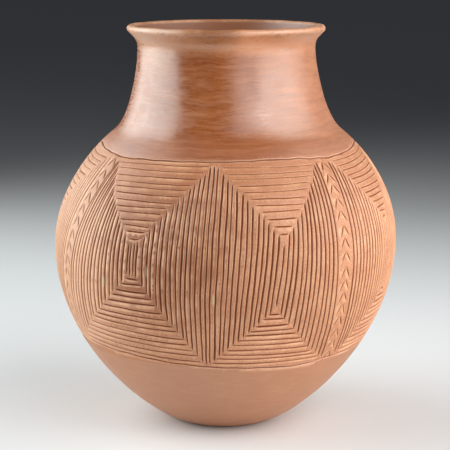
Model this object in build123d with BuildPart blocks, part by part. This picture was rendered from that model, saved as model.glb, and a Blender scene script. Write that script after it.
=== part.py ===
"""A hand-coiled pueblo jar, in millimetres, with +Z up and the origin where its axis meets the table.

The potter starts with a round patty of clay, raises the wall on it coil by coil, and ends with a flared rim.
Each coil laps down inside the one below it, on a bevel, where the two were pressed together.
The wall swells and thins as a hand-built one does: thick at the floor, even in the belly, thin in the throat.
The belly carries a carved band, with a scored border groove at each edge of it, on a coil joint. The band is
divided into panels of nested frames, drawn in to a slit, with narrow upright columns between pairs of panels.
"""

import os
from math import degrees

from build123d import *

# The outer shape, from the table up: the radius at each station, and the climb to it from the one below
foot_radius = 50.0
belly_radius = 170.0
belly_height = 181.6
neck_root_radius = 113.3
shoulder_rise = 108.7  # from the belly up to the root of the neck
neck_root_angle = 37.9  # degrees above level at which the wall leans in there
throat_radius = 88.7
neck_rise = 80.7  # from the root of the neck up to the throat
lip_overhang = 9.5  # how far the lip stands out past the throat
rim_rise = 24.0  # from the throat up to the top of the lip
lip_angle = 50.0  # degrees above level at which the flare ends

# How far each curve holds its end direction, as a share of the height that it climbs
foot_out_share = 0.355  # this one is a share of the way out from foot to belly
foot_rise_share = 0.079
bowl_hold_share = 0.488
shoulder_hold_share = 0.471
root_below_share = 0.251
root_above_share = 0.215
throat_below_share = 0.425
throat_above_share = 0.5
lip_hold_share = 0.6

# Thickness of the fired clay
floor_wall = 9.0
floor_inset = 2.0  # the floor inside ends this much short of the foot's edge
belly_wall = 7.5
neck_root_wall = 7.5
throat_wall = 6.5
lip_wall = 5.5
floor_bend = 60.0  # radius of the hollow corner between floor and wall

# The underside: a ring that stands on the table round a slight hollow
rest_ring_width = 7.0
underside_hollow = 2.0

# The coils, measured along the outer face, up from the edge of the foot
patty_reach = 40.0
plain_length = 128.0  # up to the carved band
band_length = 207.0
lower_coils = 2
belly_coils = 5
neck_coils = 3
lap = 6.0  # how far a joint drops from the outer face to the inner face

# The border grooves scored at both edges of the carved band
border_width = 2.2
border_depth = 1.2

# The main carved lines of the band, each a channel with square sides
line_width = 1.9  # where the belly is widest
line_depth = 1.2
line_gap = 3.0  # the clay left between the end of an upright line and the next line
frame_count = 4  # steps from a panel's edge in to its slit, each with a frame of its own
line_stations = 6  # stretches that an upright line's floor is drawn in

# Each panel's left edge, slit and right edge, in degrees to the right of the front, and the shares of the
# band's height at which its slit starts and ends
panel_shares = (
    (-59.0, -30.5, -6.0, 0.44, 0.66),
    (-6.0, 17.5, 38.0, 0.33, 0.66),
    (45.0, 67.0, 87.0, 0.33, 0.67),
    (87.0, 107.0, 126.5, 0.34, 0.66),
    (133.5, 153.0, 172.0, 0.34, 0.66),
    (172.0, 192.5, 210.5, 0.33, 0.67),
    (217.5, 237.0, 256.0, 0.43, 0.66),
    (256.0, 276.5, 294.0, 0.34, 0.66),
)
front = -90.0  # degrees from +X round to the front

overrun = 8.0  # how far cuts and joint lines run past the wall

# The heights and the mouth that follow from these
neck_root_height = belly_height + shoulder_rise
throat_height = neck_root_height + neck_rise
jar_height = throat_height + rim_rise
mouth_radius = throat_radius + lip_overhang  # to the outermost edge of the lip


def bowl_curve(foot, belly, bottom):
    """The wall's curve from the foot out to the widest point."""
    rise = belly_height - bottom
    leave = (foot + foot_out_share * (belly - foot), bottom + foot_rise_share * rise)
    arrive = (belly, belly_height - bowl_hold_share * rise)
    return Bezier((foot, bottom), leave, arrive, (belly, belly_height))


def shoulder_curve(belly, root, lean):
    """The wall's curve from the widest point in to the root of the neck."""
    climb = root.Y - belly_height
    leave = (belly, belly_height + shoulder_hold_share * climb)
    arrive = root - lean * (root_below_share * climb)
    return Bezier((belly, belly_height), leave, arrive, root)


def neck_curve(root, lean, throat):
    """The wall's curve from the root of the neck up to the throat, where it stands upright."""
    climb = throat_height - root.Y
    leave = root + lean * (root_above_share * climb)
    arrive = (throat, throat_height - throat_below_share * climb)
    return Bezier(root, leave, arrive, (throat, throat_height))


def flare_curve(throat, edge, spread):
    """The wall's curve from the throat out to the start of the rounded lip."""
    climb = edge.Y - throat_height
    leave = (throat, throat_height + throat_above_share * climb)
    arrive = edge - spread * (lip_hold_share * climb)
    return Bezier((throat, throat_height), leave, arrive, edge)


# Directions along the wall where it leans in at the neck's root and out at the lip, and across it
lean_in = Vector(-1, 0).rotate(Axis.Z, -neck_root_angle)
across_root = Vector(lean_in.Y, -lean_in.X)
flare_out = Vector(1, 0).rotate(Axis.Z, lip_angle)
across_lip = Vector(flare_out.Y, -flare_out.X)

outer_root = Vector(neck_root_radius, neck_root_height)
inner_root = outer_root - across_root * neck_root_wall
lip_centre = Vector(mouth_radius - lip_wall / 2, jar_height - lip_wall / 2)
outer_edge = lip_centre + across_lip * (lip_wall / 2)
inner_edge = lip_centre - across_lip * (lip_wall / 2)

inner_foot = foot_radius - floor_inset
inner_belly = belly_radius - belly_wall
inner_throat = throat_radius - throat_wall
ring_inner_radius = foot_radius - rest_ring_width


# The outer face as one line, foot to lip, along which the coils are measured
with BuildLine() as outer_line:
    bowl_curve(foot_radius, belly_radius, 0)
    shoulder_curve(belly_radius, outer_root, lean_in)
    neck_curve(outer_root, lean_in, throat_radius)
outer_face = outer_line.wire()
throat_length = outer_face.length


def wall_frame(length):
    """The point this far up the outer face, the way up the wall there, and the way into it."""
    point = outer_face.position_at(length, position_mode=PositionMode.LENGTH)
    up = outer_face.tangent_at(length, position_mode=PositionMode.LENGTH)
    return point, up, Vector(-up.Y, up.X)


def joint_line(length):
    """Both ends of the joint that starts this far up the outer face: outside the wall, and inside it."""
    point, up, inward = wall_frame(length)
    slant = (inward * belly_wall - up * lap).normalized()
    through = (belly_wall**2 + lap**2) ** 0.5
    return point - slant * overrun, point + slant * (through + overrun)


def border_groove(length):
    """The outline of a scored V that is cut in the outer face this far up it."""
    point, up, inward = wall_frame(length)
    low_edge = point - up * (border_width / 2)
    high_edge = point + up * (border_width / 2)
    clear = inward * overrun
    apex = point + inward * border_depth
    return Polyline(low_edge - clear, low_edge, apex, high_edge, high_edge - clear, close=True)


# The whole wall in section, from the axis out: floor, bowl, shoulder, neck and lip
with BuildSketch() as wall_section:
    with BuildLine():
        TangentArc((0, underside_hollow), (ring_inner_radius, 0), tangent=(1, 0))
        Line((ring_inner_radius, 0), (foot_radius, 0))
        bowl_curve(foot_radius, belly_radius, 0)
        shoulder_curve(belly_radius, outer_root, lean_in)
        neck_curve(outer_root, lean_in, throat_radius)
        flare_curve(throat_radius, outer_edge, flare_out)
        TangentArc(outer_edge, inner_edge, tangent=flare_out)
        flare_curve(inner_throat, inner_edge, flare_out)
        neck_curve(inner_root, lean_in, inner_throat)
        shoulder_curve(inner_belly, inner_root, lean_in)
        bowl_curve(inner_foot, inner_belly, floor_wall)
        Line((inner_foot, floor_wall), (0, floor_wall))
        Line((0, floor_wall), (0, underside_hollow))
    make_face()
    inside_corner = wall_section.vertices().sort_by_distance((inner_foot, floor_wall))[0]
    fillet(inside_corner, radius=floor_bend)
    with BuildLine():
        border_groove(plain_length)
    make_face(mode=Mode.SUBTRACT)
    with BuildLine():
        border_groove(plain_length + band_length)
    make_face(mode=Mode.SUBTRACT)


def upright_line(azimuth, low, high):
    """The space of a carved line that runs up the wall from one length to another."""
    turn = degrees(line_width / belly_radius)
    with BuildPart() as channel:
        with BuildSketch(Plane.XZ.rotated((0, 0, front + azimuth - turn / 2))):
            with BuildLine():
                each = (high - low) / line_stations
                frames = [wall_frame(low + number * each) for number in range(line_stations + 1)]
                floor = [point + inward * line_depth for point, up, inward in frames]
                low_end = frames[0][0] - frames[0][2] * overrun
                high_end = frames[-1][0] - frames[-1][2] * overrun
                clear = belly_radius + overrun
                Spline(*floor)
                Polyline(floor[-1], high_end, (clear, high_end.Y), (clear, low_end.Y), low_end, floor[0])
            make_face()
        revolve(axis=Axis.Z, revolution_arc=turn)
    return channel.part


def level_line(length, from_azimuth, to_azimuth):
    """The space of a carved line that runs round the wall at one length up it."""
    point, up, inward = wall_frame(length)
    low_edge = point - up * (line_width / 2)
    high_edge = point + up * (line_width / 2)
    with BuildPart() as channel:
        with BuildSketch(Plane.XZ.rotated((0, 0, front + from_azimuth))):
            with BuildLine():
                Polyline(
                    low_edge - inward * overrun,
                    low_edge + inward * line_depth,
                    high_edge + inward * line_depth,
                    high_edge - inward * overrun,
                    close=True,
                )
            make_face()
        revolve(axis=Axis.Z, revolution_arc=to_azimuth - from_azimuth)
    return channel.part


def panel_lines(left, slit, right, slit_low_share, slit_high_share):
    """The carved lines of one panel: its left edge, its nested frames, and the slit in the middle."""
    band_top = plain_length + band_length
    slit_low = plain_length + slit_low_share * band_length
    slit_high = plain_length + slit_high_share * band_length
    lines = [
        upright_line(left, plain_length + line_gap, band_top - line_gap),
        upright_line(slit, slit_low + line_gap, slit_high - line_gap),
    ]
    for number in range(1, frame_count):
        share_in = number / frame_count
        from_azimuth = left + (slit - left) * share_in
        to_azimuth = right + (slit - right) * share_in
        low = plain_length + (slit_low - plain_length) * share_in
        high = band_top + (slit_high - band_top) * share_in
        for azimuth in (from_azimuth, to_azimuth):
            lines.append(upright_line(azimuth, low + line_gap, high - line_gap))
        for length in (low, high):
            lines.append(level_line(length, from_azimuth, to_azimuth))
    return lines


def carved_lines():
    """The main lines of the whole band. A right edge that no panel shares is carved by itself."""
    lines = []
    left_edges = [panel[0] for panel in panel_shares]
    for panel in panel_shares:
        lines += panel_lines(*panel)
        right = panel[2]
        if right not in left_edges:
            band_top = plain_length + band_length
            lines.append(upright_line(right, plain_length + line_gap, band_top - line_gap))
    return lines


def coil(name, low, high, carving=()):
    """Writes the ring of wall between two joint lines, each given as its outside and inside end."""
    with BuildPart() as ring:
        with BuildSketch(Plane.XZ):
            add(wall_section.sketch)
            with BuildLine():
                Polyline(low[0], high[0], high[1], low[1], close=True)
            make_face(mode=Mode.INTERSECT)
        revolve(axis=Axis.Z)
        if carving:
            add(carving, mode=Mode.SUBTRACT)
    ring.part.label = name
    export_step(ring.part, f"parts/{name}.step")


def coils(name, first_length, last_length, count, carving=()):
    """Writes a run of equal coils, numbered upwards from 1, between two lengths up the outer face."""
    each = (last_length - first_length) / count
    for number in range(count):
        low = joint_line(first_length + number * each)
        high = joint_line(first_length + (number + 1) * each)
        coil(f"{name}_{number + 1}", low, high, carving)


os.makedirs("parts", exist_ok=True)

# The patty that the jar is raised on, with its turned-up edge
patty_joint = joint_line(patty_reach)
with BuildPart() as base_patty:
    with BuildSketch(Plane.XZ):
        add(wall_section.sketch)
        with BuildLine():
            Polyline(
                (0, -overrun),
                (foot_radius + overrun, -overrun),
                patty_joint[0],
                patty_joint[1],
                (0, patty_joint[1].Y),
                close=True,
            )
        make_face(mode=Mode.INTERSECT)
    revolve(axis=Axis.Z)
base_patty.part.label = "base_patty"
export_step(base_patty.part, "parts/base_patty.step")

# The plain lower wall, the carved belly and the neck, each a run of coils
band_top_length = plain_length + band_length
coils("lower_coil", patty_reach, plain_length, lower_coils)
coils("belly_coil", plain_length, band_top_length, belly_coils, carved_lines())
coils("neck_coil", band_top_length, throat_length, neck_coils)

# The flared rim, above the last joint
throat_joint = joint_line(throat_length)
above_lip = jar_height + overrun
with BuildPart() as rim_coil:
    with BuildSketch(Plane.XZ):
        add(wall_section.sketch)
        with BuildLine():
            Polyline(
                throat_joint[0],
                (mouth_radius + overrun, throat_joint[0].Y),
                (mouth_radius + overrun, above_lip),
                (throat_joint[1].X, above_lip),
                throat_joint[1],
                close=True,
            )
        make_face(mode=Mode.INTERSECT)
    revolve(axis=Axis.Z)
rim_coil.part.label = "rim_coil"
export_step(rim_coil.part, "parts/rim_coil.step")
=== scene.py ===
import math

import bpy
import numpy as np
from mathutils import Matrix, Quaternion, Vector
from mathutils.geometry import delaunay_2d_cdt


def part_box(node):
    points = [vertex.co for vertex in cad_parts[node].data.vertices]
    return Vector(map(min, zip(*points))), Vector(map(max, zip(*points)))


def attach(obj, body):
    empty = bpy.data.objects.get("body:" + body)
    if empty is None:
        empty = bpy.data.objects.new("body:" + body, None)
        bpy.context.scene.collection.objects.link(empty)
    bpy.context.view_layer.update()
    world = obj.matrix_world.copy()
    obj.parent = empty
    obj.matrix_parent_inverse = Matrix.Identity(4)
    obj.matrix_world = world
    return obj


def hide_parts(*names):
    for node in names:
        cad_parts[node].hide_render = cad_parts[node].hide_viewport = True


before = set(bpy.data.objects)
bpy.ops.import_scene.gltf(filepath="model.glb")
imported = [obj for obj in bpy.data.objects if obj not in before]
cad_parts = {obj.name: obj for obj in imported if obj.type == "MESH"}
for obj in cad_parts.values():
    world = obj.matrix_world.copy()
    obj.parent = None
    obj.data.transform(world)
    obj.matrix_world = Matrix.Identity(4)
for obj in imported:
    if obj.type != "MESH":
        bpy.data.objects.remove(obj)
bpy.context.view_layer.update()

# Lengths are in millimetres and angles in degrees until a mesh is made. Azimuth 0 faces the camera, and
# grows to the right. "Along" is the length along the wall's section, from 0 at the outer edge of the foot:
# up the outer face, over the lip and down the inside, and below 0 on the underside.
METRES = 0.001

# The outer shape, from the table up
foot_radius = 50.0
belly_radius = 170.0
belly_height = 181.6
neck_root_radius = 113.3
neck_root_height = 290.3
neck_root_angle = 37.9  # above level, at which the wall leans in there
throat_radius = 88.7
throat_height = 371.0
mouth_radius = 98.2
jar_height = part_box("rim_coil")[1].z / METRES
lip_angle = 50.0  # above level, at which the flare ends

# How far each curve holds its end direction, as a share of the height that it climbs
foot_out_share = 0.355  # this one is a share of the way out from foot to belly
foot_rise_share = 0.079
bowl_hold_share = 0.488
shoulder_hold_share = 0.471
root_below_share = 0.251
root_above_share = 0.215
throat_below_share = 0.425
throat_above_share = 0.5
lip_hold_share = 0.6

# Thickness of the fired clay
floor_wall = 9.0
floor_inset = 2.0
belly_wall = 7.5
neck_root_wall = 7.5
throat_wall = 6.5
lip_wall = 5.5
rest_ring_width = 7.0
underside_hollow = 2.0

# The coils, measured along the outer face
patty_reach = 40.0
plain_length = 128.0
band_length = 207.0
lap = 6.0
coil_runs = (("lower_coil", 2), ("belly_coil", 5), ("neck_coil", 3))

# How finely the faces are cut
ring_steps = 360
outer_step = 3.5
inner_step = 6.0
lip_step = 0.9
lip_reach = 12.0  # how far from the lip's top the fine steps go
groove_step = 4.0
ridge_step = 5.0


# The wall in section

def bezier(start, leave, arrive, end, count=300):
    """Points of one cubic curve."""
    share = np.linspace(0, 1, count)[:, None]
    start, leave, arrive, end = (np.array(p, float) for p in (start, leave, arrive, end))
    early = (1 - share) ** 3 * start + 3 * share * (1 - share) ** 2 * leave
    return early + 3 * share**2 * (1 - share) * arrive + share**3 * end


def heading(angle):
    """The direction this many degrees above level."""
    return np.array([math.cos(math.radians(angle)), math.sin(math.radians(angle))])


lean_in = heading(180 - neck_root_angle)
across_root = np.array([lean_in[1], -lean_in[0]])
flare_out = heading(lip_angle)
across_lip = np.array([flare_out[1], -flare_out[0]])
outer_root = np.array([neck_root_radius, neck_root_height])
inner_root = outer_root - across_root * neck_root_wall
lip_centre = np.array([mouth_radius - lip_wall / 2, jar_height - lip_wall / 2])
outer_edge = lip_centre + across_lip * lip_wall / 2
inner_edge = lip_centre - across_lip * lip_wall / 2


def wall_face(foot, belly, root, throat, edge, bottom):
    """One face of the wall in section, from the foot up to the lip."""
    rise = belly_height - bottom
    leave = (foot + foot_out_share * (belly - foot), bottom + foot_rise_share * rise)
    arrive = (belly, belly_height - bowl_hold_share * rise)
    bowl = bezier((foot, bottom), leave, arrive, (belly, belly_height))
    climb = root[1] - belly_height
    leave = (belly, belly_height + shoulder_hold_share * climb)
    shoulder = bezier((belly, belly_height), leave, root - lean_in * root_below_share * climb, root)
    climb = throat_height - root[1]
    arrive = (throat, throat_height - throat_below_share * climb)
    neck = bezier(root, root + lean_in * root_above_share * climb, arrive, (throat, throat_height))
    climb = edge[1] - throat_height
    leave = (throat, throat_height + throat_above_share * climb)
    flare = bezier((throat, throat_height), leave, edge - flare_out * lip_hold_share * climb, edge)
    return np.vstack([bowl, shoulder[1:], neck[1:], flare[1:]])


def whole_section():
    """The closed section as points, from the middle of the underside out, up, over the lip and back in."""
    ring_inside = foot_radius - rest_ring_width
    hollow_out = np.linspace(0, ring_inside, 20)
    hollow = np.column_stack([hollow_out, underside_hollow * (1 - (hollow_out / ring_inside) ** 2)])
    outer = wall_face(foot_radius, belly_radius, outer_root, throat_radius, outer_edge, 0)
    turn = np.linspace(lip_angle - 90, lip_angle + 90, 60)[1:-1]
    lip = np.array([lip_centre + heading(a) * lip_wall / 2 for a in turn])
    inner = wall_face(
        foot_radius - floor_inset,
        belly_radius - belly_wall,
        inner_root,
        throat_radius - throat_wall,
        inner_edge,
        floor_wall,
    )
    floor_in = np.linspace(foot_radius - floor_inset, 0, 20)[1:]
    floor = np.column_stack([floor_in, np.full(len(floor_in), floor_wall)])
    return np.vstack([hollow, outer, lip, inner[::-1], floor])


section = whole_section()
section_along = np.concatenate([[0], np.cumsum(np.linalg.norm(np.diff(section, axis=0), axis=1))])
foot_index = int(np.argmin(np.hypot(section[:, 0] - foot_radius, section[:, 1])))
section_along -= section_along[foot_index]
section_heading = np.gradient(section, section_along, axis=0)
section_heading /= np.linalg.norm(section_heading, axis=1)[:, None]
throat_index = int(np.argmin(np.hypot(section[:, 0] - throat_radius, section[:, 1] - throat_height)))
throat_along = section_along[throat_index]
lip_along = section_along[int(np.argmax(section[:, 1]))]
section_start, section_end = section_along[0], section_along[-1]


def radius_at(along):
    return np.interp(along, section_along, section[:, 0])


def height_at(along):
    return np.interp(along, section_along, section[:, 1])


# The hand's unevenness

# How far the jar's middle strays to the right at each of these heights
lean_heights = (0, 90, 150, 190, 230, 265, 290, 320, 395)
lean_right = (-1.0, -0.9, -0.2, 0.9, 2.2, 3.0, 3.2, 2.0, 0.8)
rim_tilt = 1.2  # how far the rim drops from the front to the sides, and again to the back
rim_pinch = 2.0  # how far the rim's two sides are drawn in
lip_bead = 0.9  # how far the rolled edge under the lip stands proud
lip_bead_reach = 8.5
lip_bead_drop = 4.5  # how far along from the lip's top the bead lies
pinch_start = 325.0  # the height from which the rim's sides are drawn in


def waves(angle, along, seed, count, turns, length, size):
    """A few slow waves round and up the wall, worked out from a seed."""
    random = np.random.default_rng(seed)
    total = np.zeros(np.broadcast(angle, along).shape)
    for _ in range(count):
        round_wave = random.integers(turns[0], turns[1] + 1) * np.radians(angle)
        up_wave = random.uniform(-1, 1) * 2 * math.pi * along / length
        total += np.sin(round_wave + up_wave + random.uniform(0, 2 * math.pi))
    return total * size / math.sqrt(count)


def smooth_between(value, low, high):
    share = np.clip((value - low) / (high - low), 0, 1)
    return share * share * (3 - 2 * share)


def unevenness(angle, along):
    """How far the outer face stands proud of the true round shape."""
    on_wall = smooth_between(along, 4, 40) * (1 - smooth_between(along, lip_along - 12, lip_along))
    broad = waves(angle, along, 11, 6, (2, 5), 260, 0.5)
    small = waves(angle, along, 12, 12, (6, 22), 60, 0.10)
    roll = waves(angle, 0 * along, 13, 6, (3, 14), 60, 0.22)
    bead = np.exp(-(((along - lip_along + lip_bead_drop) / lip_bead_reach) ** 2))
    return on_wall * (broad + small) + bead * (lip_bead + roll)


def place(angle, along, sunk=0.0):
    """Where points of the clay's face lie, in metres, given how far each is sunk below it."""
    radius, height = radius_at(along), height_at(along)
    outward = np.interp(along, section_along, section_heading[:, 1])
    upward = -np.interp(along, section_along, section_heading[:, 0])
    proud = unevenness(angle, along) - sunk
    radius = np.maximum(radius + outward * proud, 0)
    height = height + upward * proud
    turn = np.radians(angle)
    drop = rim_tilt * (1 - np.cos(turn)) * smooth_between(height, neck_root_height, jar_height)
    pinched = smooth_between(height, pinch_start, jar_height - 6)
    radius = radius - rim_pinch * np.sin(turn) ** 2 * pinched
    middle = np.interp(height, lean_heights, lean_right)
    x = middle + radius * np.sin(turn)
    y = -radius * np.cos(turn)
    return np.stack([x, y, height - drop], axis=-1) * METRES


# The carved band: every groove is a stroke of the tool, a run of (azimuth, along) with a width and a depth

hand = np.random.default_rng(5)
strokes = []
band_bottom, band_top = plain_length, plain_length + band_length
band_middle = (band_bottom + band_top) / 2

groove_width = 1.95
groove_depth = 1.35
lip_of_groove = 0.4  # how far the rounded shoulder of a groove reaches past its edge
stroke_taper = 4.0  # over which a stroke runs out at its ends
hand_waver = 0.24
top_press = 0.62  # how firmly the lines over a panel's core are scored, as a share
bottom_press = 0.88
chevron_count = 16
chevron_spread = 5.4
chevron_drop = 10.5

# The two border lines round the jar, by azimuth
border_azimuths = (-180, -135, -100, -80, -65, -50, -40, -20, -10, 0, 10, 20, 30, 45, 60, 80, 120, 180)
top_border = (
    334, 337, 339, 340, 337, 333.5, 334, 335.5, 336, 337, 337.5, 338, 337, 334, 336, 340, 337, 334
)
bottom_border = (
    130, 134, 138, 140, 139, 137, 135.5, 131, 128.5, 127, 126, 125, 124, 128, 129, 131, 134, 130
)


def border(heights, azimuth):
    turned = (np.asarray(azimuth, float) + 180) % 360 - 180
    return np.interp(turned, border_azimuths, heights)


def border_line(heights, azimuth):
    """The border as the hand scored it."""
    return border(heights, azimuth) + waves(azimuth, 0 * azimuth, 21, 5, (4, 40), 1, 0.35)


def upright(top, middle, bottom):
    """The azimuth of a line that runs up the band, as a curve through three of its points."""
    curve = np.polyfit((band_top, band_middle, band_bottom), (top, middle, bottom), 2)
    return lambda along: np.polyval(curve, along)


def stroke(points, width=groove_width, depth=groove_depth, waver=hand_waver):
    """Adds one groove along these points, drawn by an unsteady hand."""
    points = np.array(points, float)
    step_round = np.radians(np.diff(points[:, 0])) * radius_at(points[1:, 1])
    reach = np.concatenate([[0], np.cumsum(np.hypot(step_round, np.diff(points[:, 1])))])
    length = reach[-1]
    inner_count = max(int(length / groove_step), 2)
    near_end = np.array([0.0, 0.9, 2.2]) * min(1, length / 8)
    taper = stroke_taper * min(1, length / 10)
    middle = np.linspace(taper, length - taper, inner_count)
    at = np.concatenate([near_end, middle, length - near_end[::-1]])
    azimuth = np.interp(at, reach, points[:, 0])
    along = np.interp(at, reach, points[:, 1])
    drift = hand.normal(0, waver * 0.6) + waver * np.sin(at / hand.uniform(9, 26) + hand.uniform(0, 6.3))
    drift = drift + 0.4 * waver * np.sin(at / hand.uniform(3, 6) + hand.uniform(0, 6.3))
    tangent_round = np.gradient(np.radians(azimuth) * radius_at(along), at)
    tangent = np.column_stack([tangent_round, np.gradient(along, at)])
    tangent /= np.linalg.norm(tangent, axis=1)[:, None]
    azimuth = azimuth - np.degrees(tangent[:, 1] * drift / radius_at(along))
    along = along + tangent[:, 0] * drift
    from_end = np.minimum(at, length - at)
    run_out = smooth_between(from_end, -0.8, min(stroke_taper, length / 3))
    pressure = 1 + 0.10 * np.sin(at / hand.uniform(10, 30) + hand.uniform(0, 6.3))
    strokes.append(
        {
            "points": np.column_stack([azimuth, along]),
            "half": width / 2 * hand.uniform(0.88, 1.12) * (0.35 + 0.65 * run_out) * pressure,
            "depth": depth * hand.uniform(0.85, 1.12) * (0.15 + 0.85 * run_out) * pressure,
        }
    )


def border_stroke(heights):
    """A line scored right round the jar, cut in one long pass that meets itself at the back."""
    azimuth = np.linspace(-180, 180, int(2 * math.pi * belly_radius / groove_step))
    along = border_line(heights, azimuth)
    half = groove_width / 2 * (1 + waves(azimuth, 0 * azimuth, 22, 4, (5, 30), 1, 0.10))
    depth = groove_depth * (0.9 + waves(azimuth, 0 * azimuth, 23, 4, (3, 20), 1, 0.15))
    points = np.column_stack([azimuth, along])
    strokes.append({"points": points, "half": half, "depth": depth, "closed": True})


def edge_stroke(edge):
    """One full line from border to border."""
    low = border(bottom_border, edge(band_bottom)) + hand.uniform(2, 4)
    high = border(top_border, edge(band_top)) - hand.uniform(2, 4)
    along = np.linspace(low, high, 24)
    stroke(np.column_stack([edge(along), along]))


def between(low, high, share):
    return low + (high - low) * share


def panel(left, right, core, core_low, core_high, counts):
    """Nested frames between two upright edges, drawn in to a narrow core and mitred at the corners."""
    left_count, right_count, top_count, bottom_count, over_press = counts
    core_left, core_right, core_slant, core_count = core

    def line_azimuth(edge, core_side, share, along):
        """The azimuth, at this height, of the upright line this far in from the edge."""
        return between(edge(along), core_side + core_slant * (along - band_middle), share)

    def mitre(edge, core_side, heights, core_end, share):
        """Where the frame this far in turns its corner."""
        outer_end = border(heights, edge(core_end))
        along = between(outer_end, core_end, share)
        outer_end = border(heights, line_azimuth(edge, core_side, share, along))
        along = between(outer_end, core_end, share)
        return line_azimuth(edge, core_side, share, along), along

    for edge, core_side, count in ((left, core_left, left_count), (right, core_right, right_count)):
        for number in range(1, count):
            share = (number + hand.uniform(-0.12, 0.12)) / count
            low = mitre(edge, core_side, bottom_border, core_low, share)[1] + hand.uniform(-1.6, 0.4)
            high = mitre(edge, core_side, top_border, core_high, share)[1] - hand.uniform(-0.8, 1.4)
            along = np.linspace(low, high, 16)
            stroke(np.column_stack([line_azimuth(edge, core_side, share, along), along]))
    for number in range(core_count):
        core_side = between(core_left, core_right, (number + 0.5) / core_count)
        along = np.linspace(core_low + hand.uniform(1, 4), core_high - hand.uniform(1, 4), 8)
        stroke(np.column_stack([line_azimuth(left, core_side, 1, along), along]))

    ends = (
        (top_border, core_high, top_count, over_press, 0.1),
        (bottom_border, core_low, bottom_count, bottom_press, -0.35),
    )
    for heights, core_end, count, press, short in ends:
        inmost = count if core_count > 1 else count - 1
        for number in range(1, inmost + 1):
            share = min((number + hand.uniform(-0.10, 0.10)) / count, 1)
            from_azimuth, from_along = mitre(left, core_left, heights, core_end, share)
            to_azimuth, to_along = mitre(right, core_right, heights, core_end, share)
            start = (from_azimuth + short + hand.uniform(-0.2, 0.2), from_along + hand.uniform(-0.6, 0.6))
            end = (to_azimuth - short - hand.uniform(-0.2, 0.2), to_along + hand.uniform(-0.6, 0.6))
            firm = press + 0.3 * share**2
            stroke(np.linspace(start, end, 8), width=groove_width * firm, depth=groove_depth * firm)


def chevrons(centre):
    """A column of arrowheads that point up, two short strokes each."""
    for number in range(chevron_count):
        share = number / (chevron_count - 1)
        along = between(band_top - 4, band_bottom + 9, share) + hand.uniform(-1, 1)
        azimuth = centre(along)
        for side in (-1, 1):
            reach = side * (chevron_spread + hand.uniform(-0.6, 0.6))
            low = along - chevron_drop + hand.uniform(-1.2, 1.2)
            tip = azimuth + np.degrees(side * 0.4 / radius_at(along))
            tail = azimuth + np.degrees(reach / radius_at(low))
            stroke(np.linspace((tip, along), (tail, low), 6), width=groove_width * 0.9, waver=0.2)


# Four times round: a column of chevrons, then two panels. Each edge gives its azimuth at top, middle
# and bottom.
column_width = 7.0
column_centres = ((-54.3, -62.5, -70.5), (41.8, 41.2, 43.8), (130, 130, 131), (214, 214, 213))
shared_edges = ((-5.5, -6.0, -6.5), (87, 87, 87.5), (172, 172, 172), (256, 256, 255))
# For each panel: its core's left and right azimuth, slant and count of lines, the core's low and high end,
# how many frames it is away from the panel's left, right, top and bottom, and how firmly its top is scored
panel_cores = (
    (
        ((-32.6, -28.4, 0, 4), 219, 256, (16, 14, 13, 14, 0.66)),
        ((17.5, 17.5, 0.03, 1), 193, 257, (14, 12, 12, 12, top_press)),
    ),
    (
        ((67, 67, 0, 1), 196, 258, (13, 12, 14, 12, 0.70)),
        ((105.5, 108.5, 0, 2), 205, 258, (12, 11, 12, 13, top_press)),
    ),
    (
        ((153, 153, 0.02, 1), 200, 256, (12, 12, 12, 12, top_press)),
        ((191, 194, 0, 2), 196, 262, (12, 11, 11, 12, top_press)),
    ),
    (
        ((237, 237, 0, 1), 206, 252, (12, 12, 13, 13, top_press)),
        ((275, 278, -0.02, 2), 198, 260, (12, 11, 12, 12, top_press)),
    ),
)


def carve_band():
    border_stroke(top_border)
    border_stroke(bottom_border)
    for number, centre in enumerate(column_centres):
        after = column_centres[(number + 1) % 4]
        turn = 360 if number == 3 else 0
        near = upright(*(c + column_width / 2 for c in centre))
        far = upright(*(c + turn - column_width / 2 for c in after))
        shared = upright(*shared_edges[number])
        chevrons(upright(*centre))
        for edge in (near, shared, far):
            edge_stroke(edge)
        first, second = panel_cores[number]
        panel(near, shared, *first)
        panel(shared, far, *second)


carve_band()


# The band's mesh: a flat chart of the wall round the belly, cut along every groove's lines and then
# folded back up

chart_radius = 160.0  # the chart is a ring, on which the wall keeps its angles
chart_margin = 4.0  # how far round a stroke its depth is looked for
clear_of_groove = 0.7
clear_of_joint = 1.5
far_off = 9.0  # stands for no groove near
cut_batch = 20000
# The lines cut along a groove, as shares of its half width and of its shoulder
groove_lines = ((-1, -1), (-1, 0), (-0.3, 0), (0.3, 0), (1, 0), (1, 1))
# Shares of a groove's depth, from its middle out past its edge
groove_profile = ((0, 0.3, 1, 2), (1, 0.93, 0.06, 0))


def to_chart(azimuth, along):
    reach = np.exp((along - band_middle) / chart_radius)
    return np.column_stack([reach * np.cos(np.radians(azimuth)), reach * np.sin(np.radians(azimuth))])


def from_chart(points):
    azimuth = np.degrees(np.arctan2(points[:, 1], points[:, 0]))
    return azimuth, band_middle + chart_radius * np.log(np.hypot(points[:, 0], points[:, 1]))


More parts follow.
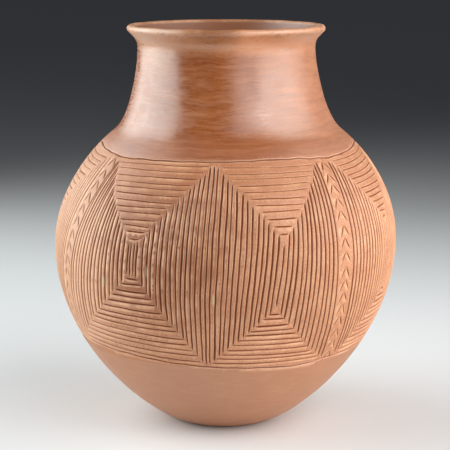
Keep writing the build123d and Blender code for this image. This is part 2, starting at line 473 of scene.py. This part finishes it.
def groove_cut(azimuth, along):
    """How deep the strokes cut in at each point, and how near its edge the nearest one comes."""
    sunk = np.zeros(len(azimuth))
    nearness = np.full(len(azimuth), far_off)
    order = np.argsort(azimuth)
    sorted_azimuth = azimuth[order]
    for mark in strokes:
        line = mark["points"]
        wide = np.degrees(chart_margin / radius_at(line[:, 1]).min())
        bottom, top = line[:, 1].min() - chart_margin, line[:, 1].max() + chart_margin
        for turn in (-360, 0, 360):
            low, high = line[:, 0].min() + turn - wide, line[:, 0].max() + turn + wide
            first, last = np.searchsorted(sorted_azimuth, (low, high))
            if first == last:
                continue
            chosen = order[first:last]
            chosen = chosen[(along[chosen] > bottom) & (along[chosen] < top)]
            for start in range(0, len(chosen), cut_batch):
                some = chosen[start:start + cut_batch]
                cut_by(mark, turn, some, azimuth, along, sunk, nearness)
    return sunk, nearness


def cut_by(mark, turn, some, azimuth, along, sunk, nearness):
    """Works one stroke into the depths of the chosen points."""
    line = mark["points"]
    scale = np.radians(1) * radius_at(along[some])[:, None]
    from_x = (line[None, :-1, 0] + turn - azimuth[some, None]) * scale
    from_y = line[None, :-1, 1] - along[some, None]
    step_x = np.diff(line[:, 0])[None] * scale
    step_y = np.diff(line[:, 1])[None]
    share = np.clip(-(from_x * step_x + from_y * step_y) / (step_x**2 + step_y**2), 0, 1)
    gap = np.hypot(from_x + share * step_x, from_y + share * step_y)
    nearest = np.argmin(gap, axis=1)
    rows = np.arange(len(some))
    gap, share = gap[rows, nearest], share[rows, nearest]
    half = between(mark["half"][nearest], mark["half"][nearest + 1], share)
    depth = between(mark["depth"][nearest], mark["depth"][nearest + 1], share)
    reach = np.where(gap < half, gap / half, 1 + (gap - half) / lip_of_groove)
    sunk[some] = np.maximum(sunk[some], depth * np.interp(reach, *groove_profile))
    nearness[some] = np.minimum(nearness[some], gap - half)


def ring_azimuths():
    return np.arange(ring_steps) * 360 / ring_steps - 180


def chart_lines(low, high, joints):
    """The points and edges that the chart is cut along: its ends, the coil joints and each groove's lines."""
    points, edges = [], []

    def add_line(azimuth, along, closed):
        first = sum(len(p) for p in points)
        points.append(np.column_stack([azimuth, along]))
        steps = np.arange(first, first + len(azimuth))
        ends = np.roll(steps, -1) if closed else steps[1:]
        edges.extend(zip(steps[: len(ends)].tolist(), ends.tolist()))

    for along in (low, high, *joints):
        add_line(ring_azimuths(), np.full(ring_steps, along), True)
    for mark in strokes:
        azimuth, along = mark["points"].T
        closed = mark.get("closed", False)
        if closed:
            azimuth, along = azimuth[:-1], along[:-1]
        half = mark["half"][: len(along)]
        near = radius_at(along)
        tangent = np.column_stack([np.gradient(np.radians(azimuth)) * near, np.gradient(along)])
        tangent /= np.linalg.norm(tangent, axis=1)[:, None]
        for width_share, shoulder_share in groove_lines:
            out = width_share * half + shoulder_share * np.sign(width_share) * lip_of_groove
            add_line(azimuth - np.degrees(tangent[:, 1] * out / near), along + tangent[:, 0] * out, closed)
    return np.vstack(points), edges


def plain_points(low, high):
    """Points that fill the chart between the grooves."""
    rows = np.linspace(low, high, int((high - low) / ridge_step) + 1)[1:-1]
    azimuth, along = np.meshgrid(np.arange(0, 360, 2) - 180.0, rows)
    azimuth = azimuth + (np.arange(len(rows)) % 2)[:, None]
    azimuth, along = azimuth.ravel(), along.ravel()
    clear = groove_cut(azimuth, along)[1] > lip_of_groove + clear_of_groove
    return np.column_stack([azimuth[clear], along[clear]])


def carved_face(low, high, joints):
    """The wall between two rings, as points (azimuth, along) and triangles that face outward."""
    lines, edges = chart_lines(low, high, joints)
    ridges = plain_points(low, high)
    clear = np.all(np.abs(ridges[:, 1, None] - np.array(joints)[None]) > clear_of_joint, axis=1)
    given = np.vstack([lines, ridges[clear]])
    chart = [Vector(p) for p in to_chart(given[:, 0], given[:, 1])]
    points, _, triangles, _, _, _ = delaunay_2d_cdt(chart, edges, [], 0, 1e-6, False)
    azimuth, along = from_chart(np.array([p[:] for p in points]))
    for ring in (low, high, *joints):
        along[np.abs(along - ring) < 0.01] = ring
    triangles = np.array([t[::-1] for t in triangles])
    in_hole = np.all(along[triangles] == low, axis=1)
    return azimuth, along, triangles[~in_hole]


# The clay's whole face, as one skin over all the coils

def joint_alongs():
    """Where each coil joint lies on the outer face, from the patty's up."""
    found = [patty_reach]
    ends = {"lower_coil": plain_length, "belly_coil": band_top, "neck_coil": throat_along}
    for name, count in coil_runs:
        start = found[-1]
        found += [start + (ends[name] - start) * (number + 1) / count for number in range(count)]
    return found


def inner_end(along):
    """Where the joint that starts here on the outer face comes out on the inside."""
    point = np.array([radius_at(along), height_at(along)])
    up = np.array([np.interp(along, section_along, section_heading[:, axis]) for axis in (0, 1)])
    slant = np.array([-up[1], up[0]]) * belly_wall - up * lap
    to_section = section - point
    side = to_section[:, 0] * slant[1] - to_section[:, 1] * slant[0]
    crossed = np.flatnonzero((side[:-1] * side[1:] <= 0) & (section_along[:-1] > lip_along))
    near = crossed[np.argmin(np.linalg.norm(to_section[crossed], axis=1))]
    share = side[near] / (side[near] - side[near + 1])
    return between(section_along[near], section_along[near + 1], share)


outer_joints = joint_alongs()
inner_joints = [inner_end(along) for along in outer_joints]
coil_names = ["base_patty"]
coil_names += [f"{name}_{number + 1}" for name, count in coil_runs for number in range(count)]
coil_names += ["rim_coil"]
carved_low, carved_high = outer_joints[1], outer_joints[8]


def rows_between(stations, step):
    """Steps along the section that hit each station."""
    rows = [stations[0]]
    for low, high in zip(stations, stations[1:]):
        count = max(round((high - low) / step), 1)
        rows += [between(low, high, (number + 1) / count) for number in range(count)]
    return rows


def regular_rows(alongs, first):
    """A face of plain rings. A ring on the axis is one point. first is the number of its first point."""
    azimuths, places, triangles, quads = [], [], [], []
    starts = []
    for along in alongs:
        on_axis = along in (section_start, section_end)
        starts.append((first + len(places), on_axis))
        azimuths += [0.0] if on_axis else list(ring_azimuths())
        places += [along] * (1 if on_axis else ring_steps)
    ring = np.arange(ring_steps)
    after = np.roll(ring, -1)
    for (low, low_point), (high, high_point) in zip(starts, starts[1:]):
        if low_point:
            triangles.append(np.column_stack([low + 0 * ring, high + after, high + ring]))
        elif high_point:
            triangles.append(np.column_stack([low + ring, low + after, high + 0 * ring]))
        else:
            quads.append(np.column_stack([low + ring, low + after, high + after, high + ring]))
    return azimuths, places, triangles, quads, starts


def whole_skin():
    """Every point of the clay's face as (azimuth, along), with the faces between them."""
    lower_stations = [section_start, -rest_ring_width, 0, *outer_joints[:2]]
    lower_rows = rows_between(lower_stations, outer_step)
    flare_top, lip_end = lip_along - lip_reach, lip_along + lip_reach
    upper_rows = rows_between([carved_high, *outer_joints[9:], flare_top], outer_step)
    upper_rows += rows_between([flare_top, lip_end], lip_step)[1:]
    upper_rows += rows_between([lip_end, *inner_joints[::-1], section_end], inner_step)[1:]
    azimuths, alongs, triangles, quads, lower_starts = regular_rows(lower_rows, 0)
    more = regular_rows(upper_rows, len(azimuths))
    azimuths, alongs = azimuths + more[0], alongs + more[1]
    triangles, quads = triangles + more[2], quads + more[3]

    band_azimuth, band_along, band_triangles = carved_face(carved_low, carved_high, outer_joints[2:8])
    ring = np.round((band_azimuth + 180) * ring_steps / 360).astype(int) % ring_steps
    number = np.cumsum((band_along != carved_low) & (band_along != carved_high)) - 1 + len(azimuths)
    number = np.where(band_along == carved_low, lower_starts[-1][0] + ring, number)
    number = np.where(band_along == carved_high, more[4][0][0] + ring, number)
    kept = (band_along != carved_low) & (band_along != carved_high)
    triangles.append(number[band_triangles])
    azimuths = np.concatenate([azimuths, band_azimuth[kept]])
    alongs = np.concatenate([alongs, band_along[kept]])
    return azimuths, alongs, np.vstack(triangles), np.vstack(quads)


def true_normals(azimuth, along):
    """Which way the uncut face looks, worked out from its own slope."""
    turn, rise = 0.05, 0.1
    across = place(azimuth + turn, along) - place(azimuth - turn, along)
    up = place(azimuth, along + rise) - place(azimuth, along - rise)
    normal = np.cross(across, up)
    return normal / np.maximum(np.linalg.norm(normal, axis=1), 1e-12)[:, None]


def mesh_of(name, points, triangles, quads):
    mesh = bpy.data.meshes.new(name)
    mesh.from_pydata(points.tolist(), [], triangles.tolist() + quads.tolist())
    mesh.polygons.foreach_set("use_smooth", [True] * len(mesh.polygons))
    return mesh


def skin_normals(points, triangles, quads, azimuth, along, nearness):
    """One normal for each point of the skin, so that the coils' joints don't show."""
    skin = mesh_of("skin", points, triangles, quads)
    normals = np.zeros(len(points) * 3)
    skin.vertex_normals.foreach_get("vector", normals)
    normals = normals.reshape(-1, 3)
    bpy.data.meshes.remove(skin)
    plain = (nearness > lip_of_groove - 0.03) & (along != section_start) & (along != section_end)
    normals[plain] = true_normals(azimuth[plain], along[plain])
    return normals


# The coils, each a closed solid cut from the skin at its joints

def open_loops(triangles, quads, along, azimuth):
    """The open edges of some faces, as rings of points in order of azimuth, from the lowest along up."""
    corners = [(triangles, 0, 1), (triangles, 1, 2), (triangles, 2, 0)]
    corners += [(quads, 0, 1), (quads, 1, 2), (quads, 2, 3), (quads, 3, 0)]
    edges = np.vstack([faces[:, [a, b]] for faces, a, b in corners])
    size = len(along)
    alone = edges[~np.isin(edges[:, 0] * size + edges[:, 1], edges[:, 1] * size + edges[:, 0])]
    follows = dict(alone.tolist())
    loops = []
    while follows:
        start, point = follows.popitem()
        loop = [start]
        while point != start:
            loop.append(point)
            point = follows.pop(point)
        turn = (azimuth[loop[1]] - azimuth[loop[0]] + 180) % 360 - 180
        loop = loop if turn > 0 else loop[::-1]
        least = int(np.argmin(azimuth[loop]))
        loops.append(loop[least:] + loop[:least])
    return sorted(loops, key=lambda loop: along[loop[0]])


def joint_face(outer, inner, azimuth, faces_up):
    """Triangles from a ring of the outer face to one of the inner face."""
    triangles = []
    outer_turn = [*azimuth[outer], azimuth[outer[0]] + 360]
    inner_turn = [*azimuth[inner], azimuth[inner[0]] + 360]
    i = j = 0
    while i < len(outer) or j < len(inner):
        a, b = outer[i % len(outer)], inner[j % len(inner)]
        step_outer = j == len(inner) or (i < len(outer) and outer_turn[i + 1] <= inner_turn[j + 1])
        if step_outer:
            i += 1
            triangles.append((a, outer[i % len(outer)], b))
        else:
            j += 1
            triangles.append((a, inner[j % len(inner)], b))
    return np.array(triangles) if faces_up else np.array(triangles)[:, ::-1]


def make_coils(materials):
    """Builds the skin, then one piece for each coil of the jar."""
    azimuth, along, triangles, quads = whole_skin()
    sunk, nearness = groove_cut(azimuth, along)
    on_band = (along > carved_low) & (along < carved_high)
    sunk, nearness = np.where(on_band, sunk, 0), np.where(on_band, nearness, far_off)
    points = place(azimuth, along, sunk)
    normals = skin_normals(points, triangles, quads, azimuth, along, nearness)
    above = along - border_line(bottom_border, azimuth)
    below = border_line(top_border, azimuth) - along
    carved = smooth_between(above, -2.0, -1.1) * smooth_between(below, -2.0, -1.1) * (along < lip_along)
    cuts = [section_start, *outer_joints, *inner_joints[::-1], section_end]

    def coil_of(faces):
        middle = (along[faces].min(axis=1) + along[faces].max(axis=1)) / 2
        interval = np.searchsorted(cuts, middle) - 1
        return np.minimum(interval, 2 * len(outer_joints) - interval)

    triangle_coil, quad_coil = coil_of(triangles), coil_of(quads)
    for number, node in enumerate(coil_names):
        own_triangles, own_quads = triangles[triangle_coil == number], quads[quad_coil == number]
        loops = open_loops(own_triangles, own_quads, along, azimuth)
        joints = []
        if number < len(outer_joints):
            outer, inner = len(loops) // 2 - 1, len(loops) // 2
            joints.append(joint_face(loops[outer], loops[inner], azimuth, True))
        if number > 0:
            joints.append(joint_face(loops[0], loops[-1], azimuth, False))
        joints = np.vstack(joints)
        slot = "carved_clay" if node.startswith("belly") else "polished_clay"
        values = {"along": along, "sunk": sunk / groove_depth, "carved": carved}
        make_coil(node, points, normals, own_triangles, own_quads, joints, values, materials[slot])


def make_coil(node, points, normals, triangles, quads, joints, values, material):
    """One closed piece, with the skin's own normals on its faces and flat ones on its joints."""
    used = np.unique(np.concatenate([triangles.ravel(), quads.ravel()]))
    local = np.zeros(len(points), int)
    local[used] = np.arange(len(used))
    mesh = mesh_of(f"fired_{node}", points[used], local[np.vstack([triangles, joints])], local[quads])
    for name, value in values.items():
        layer = mesh.attributes.new(name, "FLOAT", "POINT")
        layer.data.foreach_set("value", value[used].astype(np.float32))
    joint_points = points[joints]
    flat = np.cross(joint_points[:, 1] - joint_points[:, 0], joint_points[:, 2] - joint_points[:, 0])
    flat /= np.maximum(np.linalg.norm(flat, axis=1), 1e-12)[:, None]
    own_normals = normals[triangles].reshape(-1, 3), normals[quads].reshape(-1, 3)
    corner_normals = np.vstack([own_normals[0], np.repeat(flat, 3, axis=0), own_normals[1]])
    mesh.normals_split_custom_set(corner_normals.tolist())
    mesh.materials.append(material)
    piece = bpy.data.objects.new(f"fired_{node}", mesh)
    bpy.context.scene.collection.objects.link(piece)
    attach(piece, "root")
    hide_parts(node)


# Materials

def feed(tree, entry, value):
    """Links a value that is a socket to this input, and sets any other."""
    if isinstance(value, bpy.types.NodeSocket):
        tree.links.new(value, entry)
    else:
        entry.default_value = value


def add_node(tree, kind, settings=None, numbered=(), **named):
    """One shader node. Its inputs are given by their numbers or by their names."""
    node = tree.nodes.new(kind)
    for name, value in (settings or {}).items():
        setattr(node, name, value)
    for number, value in numbered:
        feed(tree, node.inputs[number], value)
    for name, value in named.items():
        feed(tree, node.inputs[name.replace("_", " ")], value)
    return node


def math_of(tree, operation, *values):
    return add_node(tree, "ShaderNodeMath", {"operation": operation}, enumerate(values)).outputs[0]


def vector_math(tree, operation, *values):
    return add_node(tree, "ShaderNodeVectorMath", {"operation": operation}, enumerate(values)).outputs


def mix_colours(tree, share, first, second):
    settings = {"data_type": "RGBA", "blend_type": "MIX"}
    return add_node(tree, "ShaderNodeMix", settings, ((0, share), (6, first), (7, second))).outputs[2]


def mix_values(tree, share, first, second):
    settings = {"data_type": "FLOAT"}
    return add_node(tree, "ShaderNodeMix", settings, ((0, share), (2, first), (3, second))).outputs[0]


def ranged(tree, value, from_low, from_high, to_low=0.0, to_high=1.0):
    """A smooth step from one value to another while the input goes from low to high."""
    settings = {"interpolation_type": "SMOOTHSTEP"}
    values = enumerate((value, from_low, from_high, to_low, to_high))
    return add_node(tree, "ShaderNodeMapRange", settings, values).outputs[0]


def noise(tree, vector, scale=1.0, detail=3.0, roughness=0.55):
    inputs = {"Vector": vector, "Scale": scale, "Detail": detail, "Roughness": roughness}
    return add_node(tree, "ShaderNodeTexNoise", **inputs).outputs["Fac"]


# The middle of each patch where the colour differs, by the clay's own marks or by painted light and shade,
# and how far it reaches
band_front_shade = (-60, -156, 202)  # painted shade: browner on the band's front left, between the lamps
band_front_shade_reach = 100.0
flare_front_bounce = (12, -90, 371)  # painted bounce light: paler at the front of the flare's underside
flare_front_bounce_reach = 46.0
lip_front_shade = (-8, -100, 391)  # painted shade: darker at the front of the lip, between the lamps
lip_front_shade_reach = 30.0
lip_left_highlight = (-78, -62, 388)  # painted highlight: paler on the lip's left front, where the left soft box shines
lip_left_highlight_reach = 50.0
dusty_patch = (-62, -152, 222)  # pale dust left in the grooves
dusty_patch_reach = 50.0
lime_marks = ((-10.6, -168, 157), (-71.5, -153, 180), (-113, -127, 165))  # small pale streaks of lime
lime_mark_reach = (1.7, 25, 8)

# Streaks left by the polishing stone: how long each kind is round the jar, and how wide
broad_streak_size = (17, 2.0)
fine_streak_size = (6, 0.8)
long_streak_size = (48, 4.5)
lip_fleck_size = (3.5, 1.2)
streak_waver = 14.0  # how far the streaks stray up and down

# How large the clay's other marks are
mottle_size = 55.0
blotch_size = 16.0
grain_size = 1.6
pit_size = 1.3
dust_size = (1.8, 1.8, 11.0)

# Where each change of the clay, its painted light or its roughness sets in and where it is whole, along the
# wall or to the right
lower_fade = (260, 200)  # down to the plain lower wall
lit_side_fade = (42, 100)  # to the right side, painted lighter where the right soft boxes fall
shoulder_fade = (378, 352)  # down from the glossy neck
band_top_fade = (255, 318)
band_left_sheen_fade = (-95, -145)
lit_side_waver = 30.0

# Colours of the polished clay, some of them painted light or shade
burnished_dark = (0.25, 0.062, 0.010, 1)
burnished_light = (0.32, 0.093, 0.022, 1)
# painted light: paler clay for the right side, where the right soft boxes light it
lit_side_clay = (0.345, 0.123, 0.045, 1)
# painted light: paler clay on the flare's underside, for light bounced up from the floor
flare_bounce_clay = (0.46, 0.188, 0.080, 1)
# painted light: the colour of bounced light on the flare's front
bounce_pale_clay = (0.60, 0.25, 0.115, 1)
long_streak_pale = (0.50, 0.19, 0.078, 1)
long_streak_dark = (0.18, 0.045, 0.011, 1)
streak_pale = (0.50, 0.185, 0.075, 1)
streak_dark = (0.17, 0.041, 0.010, 1)
lower_clay = (0.45, 0.182, 0.076, 1)
dry_clay = (0.52, 0.23, 0.105, 1)
pale_clay = (0.62, 0.36, 0.22, 1)
# painted shade: dark clay for the inside of the mouth, where little light falls
inside_shade_clay = (0.15, 0.034, 0.002, 1)
# pale wear on the lip, which further down the flare is painted bounce light
wear_and_bounce_clay = (0.56, 0.285, 0.150, 1)
# painted shade: the dark colour for the lip's front
lip_shade_clay = (0.20, 0.062, 0.018, 1)
fleck_dark = (0.15, 0.045, 0.014, 1)

# Colours of the carved clay, some of them painted shade, sheen or highlights
matte_dark = (0.41, 0.152, 0.064, 1)
matte_light = (0.59, 0.266, 0.138, 1)
matte_mottle = (0.44, 0.165, 0.070, 1)
# painted shade: the dark colour for the band's front left
band_shade_clay = (0.265, 0.073, 0.018, 1)
band_top_clay = (0.36, 0.128, 0.052, 1)
# painted sheen: pale colour for the band's left side
band_left_sheen_clay = (0.62, 0.33, 0.20, 1)
pit_dark = (0.19, 0.058, 0.022, 1)
# painted highlight: pale colour along the grooves' edges
burr_highlight_pale = (0.70, 0.38, 0.21, 1)
# darker clay and painted shade for the grooves
groove_clay_and_shade = (0.165, 0.034, 0.005, 1)
dust_pale = (0.68, 0.46, 0.30, 1)
lime_pale = (0.56, 0.48, 0.27, 1)


def clay(name, refraction, specular):
    """Fired clay that is stone-polished outside the carved band and left matte inside it."""
    material = bpy.data.materials.new(name)
    material.use_nodes = True
    tree = material.node_tree
    tree.nodes.clear()

    def value_of(attribute):
        return add_node(tree, "ShaderNodeAttribute", {"attribute_name": attribute}).outputs["Fac"]

    def times(first, second):
        return math_of(tree, "MULTIPLY", first, second)

    def step(value, *limits):
        return ranged(tree, value, *limits)

    def tinted(base, share, colour):
        return mix_colours(tree, share, base, colour)

    along, sunk, carved = value_of("along"), value_of("sunk"), value_of("carved")
    place_of = add_node(tree, "ShaderNodeTexCoord").outputs["Object"]
    to_millimetres = add_node(
        tree, "ShaderNodeVectorMath", {"operation": "SCALE"}, ((0, place_of),), Scale=1 / METRES
    )
    grain_place = to_millimetres.outputs[0]
    right, back, up = add_node(tree, "ShaderNodeSeparateXYZ", Vector=grain_place).outputs

    mottle = noise(tree, grain_place, scale=1 / mottle_size, detail=3)
    wavy = math_of(tree, "ADD", along, times(mottle, streak_waver))

    def streaks(size, detail, roughness=0.55):
        """Noise drawn out round the jar."""
        length, width = size
        drawn_out = add_node(
            tree,
            "ShaderNodeCombineXYZ",
            X=math_of(tree, "DIVIDE", right, length),
            Y=math_of(tree, "DIVIDE", back, length),
            Z=math_of(tree, "DIVIDE", wavy, width),
        )
        return noise(tree, drawn_out.outputs[0], detail=detail, roughness=roughness)

    broad_streak = streaks(broad_streak_size, 4, 0.6)
    fine_streak = streaks(fine_streak_size, 3, 0.6)
    long_streak = streaks(long_streak_size, 3, 0.6)
    blotch = noise(tree, grain_place, scale=1 / blotch_size, detail=4, roughness=0.6)
    grain = noise(tree, grain_place, scale=1 / grain_size, detail=4, roughness=0.75)
    speck = noise(tree, grain_place, scale=1 / grain_size, detail=1)
    pit = noise(tree, grain_place, scale=1 / pit_size, detail=2)
    uneven = mix_values(tree, 0.4, broad_streak, blotch)

    def near(centre, reach, share):
        """How strongly a patch round this point shows."""
        away = vector_math(tree, "DISTANCE", grain_place, centre)["Value"]
        strayed = math_of(tree, "ADD", away, times(blotch, reach * 0.3))
        return step(strayed, reach * 1.15, reach * 0.45, 0, share)

    # The polished clay, from its ground to the marks on the lip, with painted light on the right side and the
    # flare and painted shade inside and at the lip's front
    polished = mix_colours(tree, step(mottle, 0.3, 0.7), burnished_dark, burnished_light)
    # Painted light: the right side is tinted paler where the right soft boxes light it
    lit_side = step(math_of(tree, "ADD", right, times(mottle, lit_side_waver)), *lit_side_fade)
    polished = tinted(polished, times(lit_side, 0.62), lit_side_clay)
    # Painted light: the flare's underside is tinted paler, as if lit by light bounced from the floor
    flare = step(along, throat_along - 6.0, throat_along + 12.0, 0, 0.75)
    polished = tinted(polished, flare, flare_bounce_clay)
    polished = tinted(polished, step(long_streak, 0.50, 0.68, 0, 0.28), long_streak_pale)
    polished = tinted(polished, step(long_streak, 0.48, 0.32, 0, 0.25), long_streak_dark)
    polished = tinted(polished, step(broad_streak, 0.48, 0.68, 0, 0.30), streak_pale)
    polished = tinted(polished, step(fine_streak, 0.52, 0.3, 0, 0.24), streak_dark)
    lower = step(along, *lower_fade)
    polished = tinted(polished, times(lower, 0.8), lower_clay)
    polished = tinted(polished, times(lower, step(uneven, 0.46, 0.62, 0, 0.30)), dry_clay)
    polished = tinted(polished, step(speck, 0.72, 0.76, 0, 0.5), pale_clay)
    # Painted shade: the inside of the mouth is darkened
    inside = step(along, lip_along - 1.0, lip_along + 5.0)
    polished = tinted(polished, times(inside, 0.85), inside_shade_clay)
    # Wear on the lip's top in blotches; where it reaches down the flare it is painted light for light bounced
    # from the floor
    on_lip = times(
        step(along, lip_along - 20.0, lip_along - 5.0), step(along, lip_along + 5.0, lip_along + 2.0)
    )
    wear_and_bounce_light = times(on_lip, step(blotch, 0.40, 0.62, 0.25, 0.9))
    polished = tinted(polished, times(wear_and_bounce_light, 0.75), wear_and_bounce_clay)
    # Painted light: a paler patch at the front of the flare stands in for bounced light
    on_flare = step(along, throat_along - 3.0, throat_along + 9.0)
    polished = tinted(polished, times(near(flare_front_bounce, flare_front_bounce_reach, 0.75), on_flare), bounce_pale_clay)
    # Painted highlight: a pale patch on the lip's left front, where the left soft box glints
    polished = tinted(polished, near(lip_left_highlight, lip_left_highlight_reach, 0.35), pale_clay)
    # Painted shade: the lip's front is darkened where little lamp light reaches
    polished = tinted(polished, near(lip_front_shade, lip_front_shade_reach, 0.55), lip_shade_clay)
    under_lip = times(
        step(along, lip_along - 13.0, lip_along - 9.0), step(along, lip_along - 2.0, lip_along - 5.0)
    )
    fleck = times(under_lip, step(streaks(lip_fleck_size, 2), 0.56, 0.64, 0, 0.7))
    polished = tinted(polished, fleck, fleck_dark)

    # The carved clay, from its ground to the grooves and what lies in them, with painted shade, sheen and
    # highlights among them
    matte = mix_colours(tree, step(grain, 0.38, 0.62), matte_dark, matte_light)
    matte = tinted(matte, step(mottle, 0.35, 0.7, 0, 0.35), matte_mottle)
    # Painted shade: the band's front left is darkened where little lamp light falls
    matte = tinted(matte, near(band_front_shade, band_front_shade_reach, 0.88), band_shade_clay)
    matte = tinted(matte, step(along, *band_top_fade, 0, 0.5), band_top_clay)
    # Painted sheen: the band's left side is tinted paler, where the left soft box glances off it
    matte = tinted(matte, step(right, *band_left_sheen_fade, 0, 0.6), band_left_sheen_clay)
    matte = tinted(matte, step(pit, 0.66, 0.72, 0, 0.5), pit_dark)
    # Painted highlight: pale blotches along the grooves' edges, where raised burrs would catch the light
    burr_highlight = times(step(sunk, 0.0, 0.04), step(sunk, 0.2, 0.08))
    matte = tinted(matte, times(burr_highlight, step(blotch, 0.35, 0.65, 0.2, 0.8)), burr_highlight_pale)
    # Darker clay and painted shade in the grooves, deepest at their bottoms
    matte = tinted(matte, step(sunk, 0.08, 0.75, 0, 0.92), groove_clay_and_shade)
    groove_edge = times(step(sunk, 0.02, 0.15), step(sunk, 0.7, 0.4))
    dusty = times(near(dusty_patch, dusty_patch_reach, 1.0), groove_edge)
    drawn_up = vector_math(tree, "DIVIDE", grain_place, dust_size)[0]
    dusty = times(dusty, step(noise(tree, drawn_up, detail=2), 0.48, 0.62, 0, 0.6))
    matte = tinted(matte, dusty, dust_pale)
    for centre in lime_marks:
        from_mark = vector_math(tree, "SUBTRACT", grain_place, centre)[0]
        scaled = vector_math(tree, "DIVIDE", from_mark, lime_mark_reach)[0]
        out_of_mark = vector_math(tree, "LENGTH", scaled)["Value"]
        matte = tinted(matte, step(out_of_mark, 1.0, 0.4, 0, 0.6), lime_pale)
    colour = mix_colours(tree, carved, polished, matte)

    # How rough each face is
    roughness = mix_values(tree, lower, step(uneven, 0.38, 0.62, 0.22, 0.42), 0.42)
    roughness = mix_values(tree, times(lit_side, 0.6), roughness, 0.5)
    roughness = mix_values(tree, step(wavy, *shoulder_fade), roughness, 0.5)
    roughness = mix_values(tree, inside, roughness, 0.5)
    roughness = mix_values(tree, wear_and_bounce_light, roughness, 0.55)
    roughness = mix_values(tree, carved, roughness, step(sunk, 0.1, 0.7, 0.52, 0.9))
    streak_height = math_of(tree, "ADD", times(broad_streak, 0.09), times(fine_streak, 0.008))
    height = mix_values(tree, carved, streak_height, times(grain, 0.24))
    bump = add_node(tree, "ShaderNodeBump", Height=height, Distance=METRES, Strength=1.0)
    shader = add_node(
        tree,
        "ShaderNodeBsdfPrincipled",
        Base_Color=colour,
        Roughness=roughness,
        Normal=bump.outputs[0],
        IOR=refraction,
        Specular_IOR_Level=specular,
    )
    add_node(tree, "ShaderNodeOutputMaterial", Surface=shader.outputs[0])
    return material


materials = {
    "polished_clay": clay("polished_clay", 1.55, 1.0),
    "carved_clay": clay("carved_clay", 1.5, 0.6),
}
make_coils(materials)


# The studio

floor_reach = 14.0  # in metres, as is all in the studio
floor_colour = (0.73, 0.735, 0.745, 1)
floor_roughness = 0.6
studio_colour = (0.036, 0.038, 0.044, 1)
jar_middle = (0, 0, 0.22)
box_spread = 120.0
# Each soft box's azimuth, elevation, distance, width, height, roll, power and colour
soft_boxes = {
    "left_box": (-100, 22, 1.1, 1.85, 1.4, -16, 17.5, (0.94, 1.0, 0.99)),
    "right_box": (72, 22, 1.1, 1.3, 1.35, 16, 11.3, (1.0, 1.0, 0.97)),
    "right_wing": (132, 22, 1.1, 0.9, 1.3, 0, 0.8, (1.0, 1.0, 0.97)),
    "front_box": (28, 24, 1.1, 0.75, 1.3, 0, 2.9, (1.0, 1.0, 1.0)),
}
frame_pixels, focal_pixels = 450, 1639.05
sensor_width = 36.0
camera_place = (0, -1.6135, 0.5017)
camera_tilt = 10.78  # below level


def plain(name, colour, roughness):
    material = bpy.data.materials.new(name)
    material.use_nodes = True
    shader = material.node_tree.nodes["Principled BSDF"]
    shader.inputs["Base Color"].default_value = colour
    shader.inputs["Roughness"].default_value = roughness
    return material


def make_floor():
    mesh = bpy.data.meshes.new("floor")
    corners = [(floor_reach * x, floor_reach * y, 0) for x, y in ((-1, -1), (1, -1), (1, 1), (-1, 1))]
    mesh.from_pydata(corners, [], [(0, 1, 2, 3)])
    floor = bpy.data.objects.new("floor", mesh)
    mesh.materials.append(plain("floor_paper", floor_colour, floor_roughness))
    bpy.context.scene.collection.objects.link(floor)


def make_world():
    world = bpy.data.worlds.new("studio")
    bpy.context.scene.world = world
    world.use_nodes = True
    world.node_tree.nodes["Background"].inputs["Color"].default_value = studio_colour


def soft_box(name, azimuth, elevation, distance, width, height, roll, power, colour):
    """A soft box that looks at the jar's middle."""
    light = bpy.data.lights.new(name, "AREA")
    light.shape = "RECTANGLE"
    light.size = width
    light.size_y = height
    light.energy = power
    light.spread = math.radians(box_spread)
    light.color = colour
    lamp = bpy.data.objects.new(name, light)
    turn, up = math.radians(azimuth), math.radians(elevation)
    away = Vector((math.sin(turn) * math.cos(up), -math.cos(turn) * math.cos(up), math.sin(up)))
    lamp.location = Vector(jar_middle) + away * distance
    facing = away.to_track_quat("Z", "Y") @ Quaternion((0, 0, 1), math.radians(roll))
    lamp.rotation_euler = facing.to_euler()
    bpy.context.scene.collection.objects.link(lamp)


def make_camera():
    camera_data = bpy.data.cameras.new("camera")
    camera_data.sensor_width = sensor_width
    camera_data.lens = sensor_width * focal_pixels / frame_pixels
    camera = bpy.data.objects.new("camera", camera_data)
    camera.location = camera_place
    camera.rotation_euler = (math.radians(90 - camera_tilt), 0, 0)
    bpy.context.scene.collection.objects.link(camera)
    bpy.context.scene.camera = camera


make_floor()
make_world()
for box_name, box_values in soft_boxes.items():
    soft_box(box_name, *box_values)
make_camera()
bpy.context.scene.view_settings.view_transform = "Standard"
